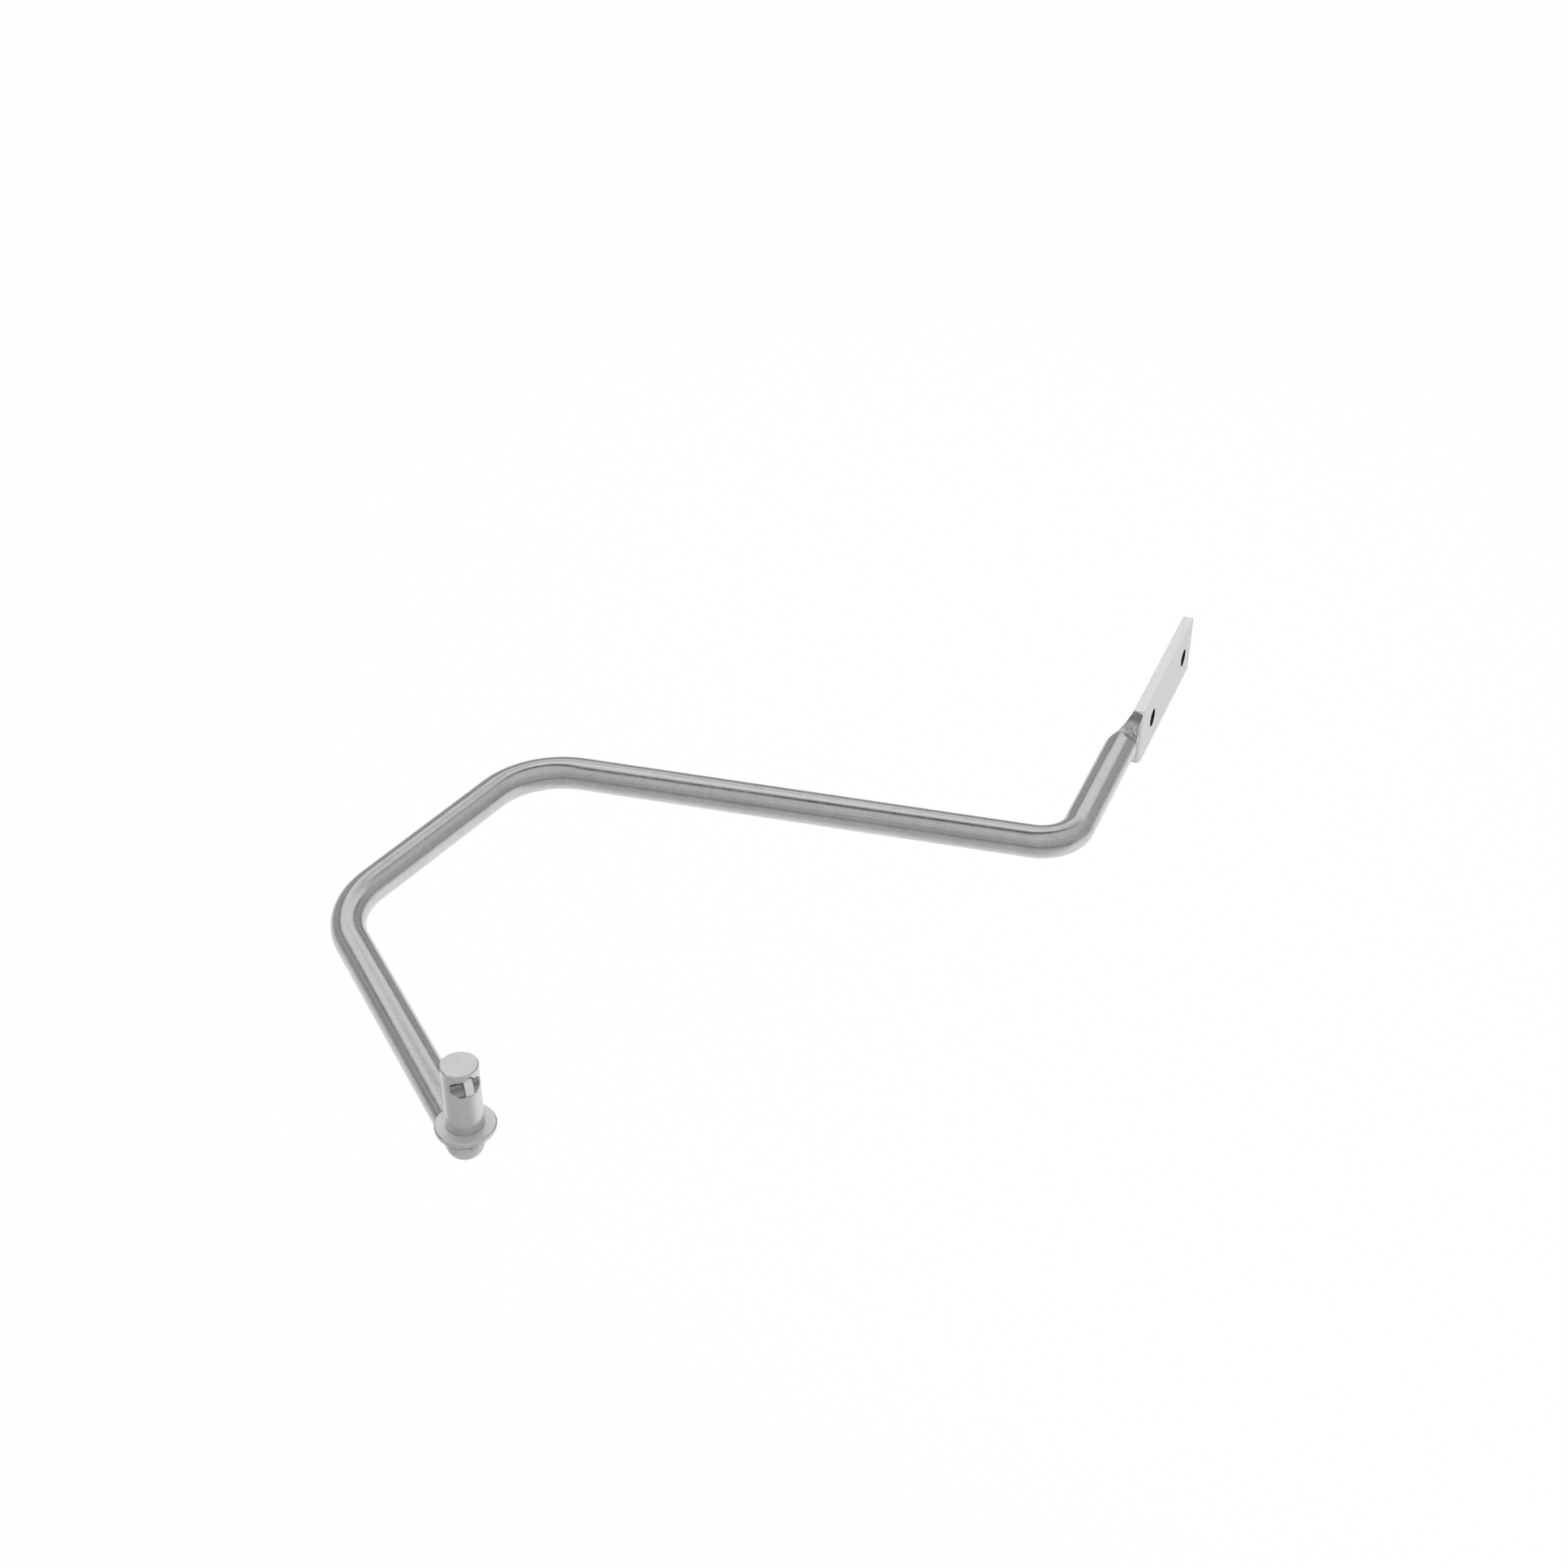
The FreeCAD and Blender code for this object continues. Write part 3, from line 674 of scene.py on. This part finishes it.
# %% The five steels
bar_steel = steel("bar_steel", [(0.515, 0.505, 0.525), (0.685, 0.673, 0.695)], (0.12, 0.25),
                  (22.0, 1100.0, 1100.0), 0.16, clouds=(260.0, 1100.0, 0.6), attribute="along_bar",
                  matt=ground_end)
plate_steel = steel("plate_steel", [(0.72, 0.72, 0.725), (0.81, 0.81, 0.815)], (0.44, 0.56),
                    (2200.0, 160.0, 2200.0), 0.06, clouds=(220.0, 1500.0, 0.5), metallic=0.45,
                    darken=hole_wall_shade)
turned_steel = steel("turned_steel", [(0.59, 0.58, 0.595), (0.71, 0.70, 0.715)], (0.14, 0.27),
                     (120.0, 120.0, 5200.0), 0.10, clouds=(300.0, 1700.0, 0.5),
                     centre=(PIN_X, PIN_Y, 0), darken=pin_cut_shade, matt=facing_up)
key_steel = steel("key_steel", [(0.72, 0.72, 0.72), (0.84, 0.84, 0.84)], (0.40, 0.50),
                  (1500.0, 1500.0, 1500.0), 0.10, clouds=(500.0, 2500.0, 0.5), metallic=0.45)
weld_metal = steel("weld_metal", [(0.28, 0.28, 0.29), (0.80, 0.80, 0.81)], (0.22, 0.42),
                   (900.0, 900.0, 900.0), 0.35, clouds=(420.0, 1500.0, 0.4), darken=weld_darkening)
paint(bar, bar_steel)
paint(nodes["mounting_plate"], plate_steel)
paint(nodes["turned_pin"], turned_steel)
paint(nodes["thrust_collar"], turned_steel)
paint(nodes["slot_key"], key_steel)
paint(plate_weld, weld_metal)
paint(pin_weld, weld_metal)

# %% [markdown]
# The arm hangs from its plate, well clear of the floor.  The floor is pale and
# takes a soft shadow; towards the camera and to the left it is greyer, which
# gives the steel something to show on its near side.  To the camera itself it
# is nearly white, so the page round the arm stays clean.  The steel mirrors a
# mix of that page, fading with distance, and the lit floor with its shadow.

# %% Floor
FLOOR_Z = -0.40
AWAY = Vector((math.cos(VIEW_HEADING), math.sin(VIEW_HEADING), 0.0))
FLOOR_WAY = Matrix.Rotation(math.radians(-20), 3, "Z") @ AWAY
FLOOR_HALF = 6.0
FLOOR_GREY = (0.56, 0.56, 0.56, 1.0)
FLOOR_PALE = (0.93, 0.93, 0.93, 1.0)
PAGE_TO_CAMERA = 0.93
PAGE_TO_MIRRORS = 0.6


def make_floor():
    """A level square whose tone rises from grey to pale along FLOOR_WAY.

    PAGE_TO_CAMERA and PAGE_TO_MIRRORS are the shares of the page in what the
    camera sees and in what mirrors and glass show.  The rest is the lit floor.
    """
    sides = [(-1, -1), (1, -1), (1, 1), (-1, 1)]
    corners = [(FLOOR_HALF * x, FLOOR_HALF * y, FLOOR_Z) for x, y in sides]
    mesh = bpy.data.meshes.new("floor")
    mesh.from_pydata(corners, [], [(0, 1, 2, 3)])
    piece = bpy.data.objects.new("floor", mesh)
    bpy.context.scene.collection.objects.link(piece)
    material = bpy.data.materials.new("pale_floor")
    material.use_nodes = True
    tree = material.node_tree
    tree.nodes.clear()
    along = add(tree, "VectorMath", operation="DOT_PRODUCT")
    along.inputs[1].default_value = FLOOR_WAY
    join(tree, add(tree, "TexCoord").outputs["Object"], along.inputs[0])
    tone = add(tree, "MapRange", From_Min=-0.6, From_Max=0.0, To_Min=0.0, To_Max=1.0)
    tone.interpolation_type = "SMOOTHSTEP"
    join(tree, along.outputs["Value"], tone.inputs["Value"])
    shade = add(tree, "Mix", data_type="RGBA")
    shade.inputs["A"].default_value = FLOOR_GREY
    shade.inputs["B"].default_value = FLOOR_PALE
    join(tree, tone.outputs["Result"], shade.inputs["Factor"])
    matt = add(tree, "BsdfDiffuse")
    join(tree, shade.outputs["Result"], matt.inputs["Color"])
    page = add(tree, "Mix", data_type="RGBA")
    page.inputs["B"].default_value = (1.0, 1.0, 1.0, 1.0)
    grey = add(tree, "MapRange", To_Min=0.58, To_Max=1.0)
    join(tree, tone.outputs["Result"], grey.inputs["Value"])
    reach = add(tree, "VectorMath", operation="LENGTH")
    join(tree, add(tree, "TexCoord").outputs["Object"], reach.inputs[0])
    pool = add(tree, "MapRange", From_Min=0.8, From_Max=3.0, To_Min=1.0, To_Max=0.36)
    join(tree, reach.outputs["Value"], pool.inputs["Value"])
    faded = add(tree, "Math", operation="MULTIPLY")
    join(tree, grey.outputs["Result"], faded.inputs[0])
    join(tree, pool.outputs["Result"], faded.inputs[1])
    white = add(tree, "Emission", Strength=1.0)
    ray = add(tree, "LightPath")
    mirrored = add(tree, "Math", operation="MAXIMUM")
    join(tree, ray.outputs["Is Glossy Ray"], mirrored.inputs[0])
    join(tree, ray.outputs["Is Transmission Ray"], mirrored.inputs[1])
    share = add(tree, "Math", operation="MULTIPLY")
    share.inputs[1].default_value = PAGE_TO_MIRRORS
    join(tree, mirrored.outputs["Value"], share.inputs[0])
    seen = add(tree, "Math", operation="MULTIPLY_ADD")
    seen.inputs[1].default_value = PAGE_TO_CAMERA
    join(tree, ray.outputs["Is Camera Ray"], seen.inputs[0])
    join(tree, share.outputs["Value"], seen.inputs[2])
    join(tree, faded.outputs["Value"], page.inputs["A"])
    join(tree, ray.outputs["Is Camera Ray"], page.inputs["Factor"])
    join(tree, page.outputs["Result"], white.inputs["Color"])
    blend = add(tree, "MixShader")
    join(tree, seen.outputs["Value"], blend.inputs["Fac"])
    join(tree, matt.outputs["BSDF"], blend.inputs[1])
    join(tree, white.outputs["Emission"], blend.inputs[2])
    join(tree, blend.outputs["Shader"], add(tree, "OutputMaterial").inputs["Surface"])
    mesh.materials.append(material)


make_floor()
print("floor made at z = %.2f m" % FLOOR_Z)

# %% [markdown]
# Polished steel shows its surroundings more than its own colour, so the room
# matters as much as the lamps.  The sky here is plain.  On the far side it is
# dim along the horizon, with one darker band above that, and bright high up.
# On the camera's side it is even and greyer.  A dark seam crosses it overhead
# between the two sides, and draws a crisp line along the bar.

# %% Surroundings
SEAM_WAY = Matrix.Rotation(math.radians(32), 3, "Z") @ AWAY
SEAM_PLACE = 0.07
FAR_SIDE = [(0.0, 0.50), (0.50, 0.38), (0.60, 0.48), (0.66, 0.42), (0.705, 0.14),
            (0.745, 0.98), (0.80, 1.0), (0.86, 0.60), (0.92, 1.0), (1.0, 1.0)]
NEAR_SIDE = [(0.0, 0.45), (0.52, 0.46), (0.70, 0.52), (0.80, 0.62), (0.92, 0.70), (1.0, 0.70)]
PAGE = (0.97, 0.97, 0.97, 1.0)


def set_ramp(node, stops):
    """Grey stops (place, level) on a colour ramp."""
    elements = node.color_ramp.elements
    while len(elements) > 1:
        elements.remove(elements[-1])
    elements[0].position, elements[0].color = stops[0][0], (*[stops[0][1]] * 3, 1.0)
    for place, level in stops[1:]:
        elements.new(place).color = (level, level, level, 1.0)


def make_sky():
    """Two grey ramps over height, blended along SEAM_WAY and darkened at the seam.

    FAR_SIDE and NEAR_SIDE give the grey at (z + 1) / 2 of a direction's height
    z, so 0.5 is the horizon.  The camera sees PAGE instead.
    """
    world = bpy.data.worlds.new("studio")
    world.use_nodes = True
    bpy.context.scene.world = world
    tree = world.node_tree
    tree.nodes.clear()
    where = add(tree, "TexCoord").outputs["Generated"]
    split = add(tree, "SeparateXYZ")
    join(tree, where, split.inputs["Vector"])
    far = add(tree, "VectorMath", operation="DOT_PRODUCT")
    far.inputs[1].default_value = SEAM_WAY
    join(tree, where, far.inputs[0])

    height = add(tree, "ValToRGB")
    set_ramp(height, FAR_SIDE)
    lift = add(tree, "MapRange", From_Min=-1.0, From_Max=1.0, To_Min=0.0, To_Max=1.0)
    join(tree, split.outputs["Z"], lift.inputs["Value"])
    join(tree, lift.outputs["Result"], height.inputs["Fac"])

    near = add(tree, "ValToRGB")
    set_ramp(near, NEAR_SIDE)
    join(tree, lift.outputs["Result"], near.inputs["Fac"])

    side = add(tree, "MapRange", From_Min=0.0, From_Max=0.35, To_Min=0.0, To_Max=1.0)
    side.interpolation_type = "SMOOTHSTEP"
    join(tree, far.outputs["Value"], side.inputs["Value"])
    both = add(tree, "Mix", data_type="RGBA")
    join(tree, side.outputs["Result"], both.inputs["Factor"])
    join(tree, near.outputs["Color"], both.inputs["A"])
    join(tree, height.outputs["Color"], both.inputs["B"])

    strip = add(tree, "MapRange", From_Min=0.03, From_Max=0.17, To_Min=0.06, To_Max=1.0)
    strip.interpolation_type = "SMOOTHSTEP"
    offset = add(tree, "Math", operation="ADD")
    offset.inputs[1].default_value = -SEAM_PLACE
    size = add(tree, "Math", operation="ABSOLUTE")
    join(tree, far.outputs["Value"], offset.inputs[0])
    join(tree, offset.outputs["Value"], size.inputs[0])
    join(tree, size.outputs["Value"], strip.inputs["Value"])
    above = add(tree, "MapRange", From_Min=0.68, From_Max=0.96, To_Min=0.0, To_Max=1.0)
    join(tree, split.outputs["Z"], above.inputs["Value"])
    dark = add(tree, "Mix", data_type="FLOAT", A=1.0)
    join(tree, above.outputs["Result"], dark.inputs["Factor"])
    join(tree, strip.outputs["Result"], dark.inputs["B"])
    tone = add(tree, "VectorMath", operation="SCALE")
    join(tree, both.outputs["Result"], tone.inputs[0])
    join(tree, dark.outputs["Result"], tone.inputs["Scale"])

    room = add(tree, "Background", Strength=1.0)
    join(tree, tone.outputs["Vector"], room.inputs["Color"])
    page = add(tree, "Background", Color=PAGE, Strength=1.0)
    blend = add(tree, "MixShader")
    join(tree, add(tree, "LightPath").outputs["Is Camera Ray"], blend.inputs["Fac"])
    join(tree, room.outputs["Background"], blend.inputs[1])
    join(tree, page.outputs["Background"], blend.inputs[2])
    join(tree, blend.outputs["Shader"], add(tree, "OutputWorld").inputs["Surface"])


make_sky()
print("sky made")

# %% [markdown]
# Two large soft lamps finish the light.  One stands high behind the arm and
# lights the floor beyond it.  The other is a weaker fill, above and behind the
# camera and a little to its right.  Both are big and soft, and the polished
# steel doesn't mirror them: it shows the even room instead.

# %% Lamps
def soft_lamp(name, place, target, size, watts):
    """A square area lamp at place, facing target."""
    data = bpy.data.lights.new(name, "AREA")
    data.size = size
    data.energy = watts
    lamp = bpy.data.objects.new(name, data)
    turn = (target - place).to_track_quat("-Z", "Y")
    lamp.matrix_world = Matrix.Translation(place) @ turn.to_matrix().to_4x4()
    lamp.visible_glossy = False
    bpy.context.scene.collection.objects.link(lamp)


middle = (Vector(cad_box[0]) + Vector(cad_box[1])) / 2
soft_lamp("lamp_behind", middle + AWAY * 1.6 + Vector((0.2, 0.0, 1.8)), middle, 1.4, 21.0)
soft_lamp("lamp_fill", middle - AWAY * 1.3 + Vector((0.5, 0.0, 1.2)), middle, 1.2, 15.0)
print("lamps made")

# %% Write the sizes and finish
print("cad box", [[round(v, 4) for v in c] for c in cad_box])
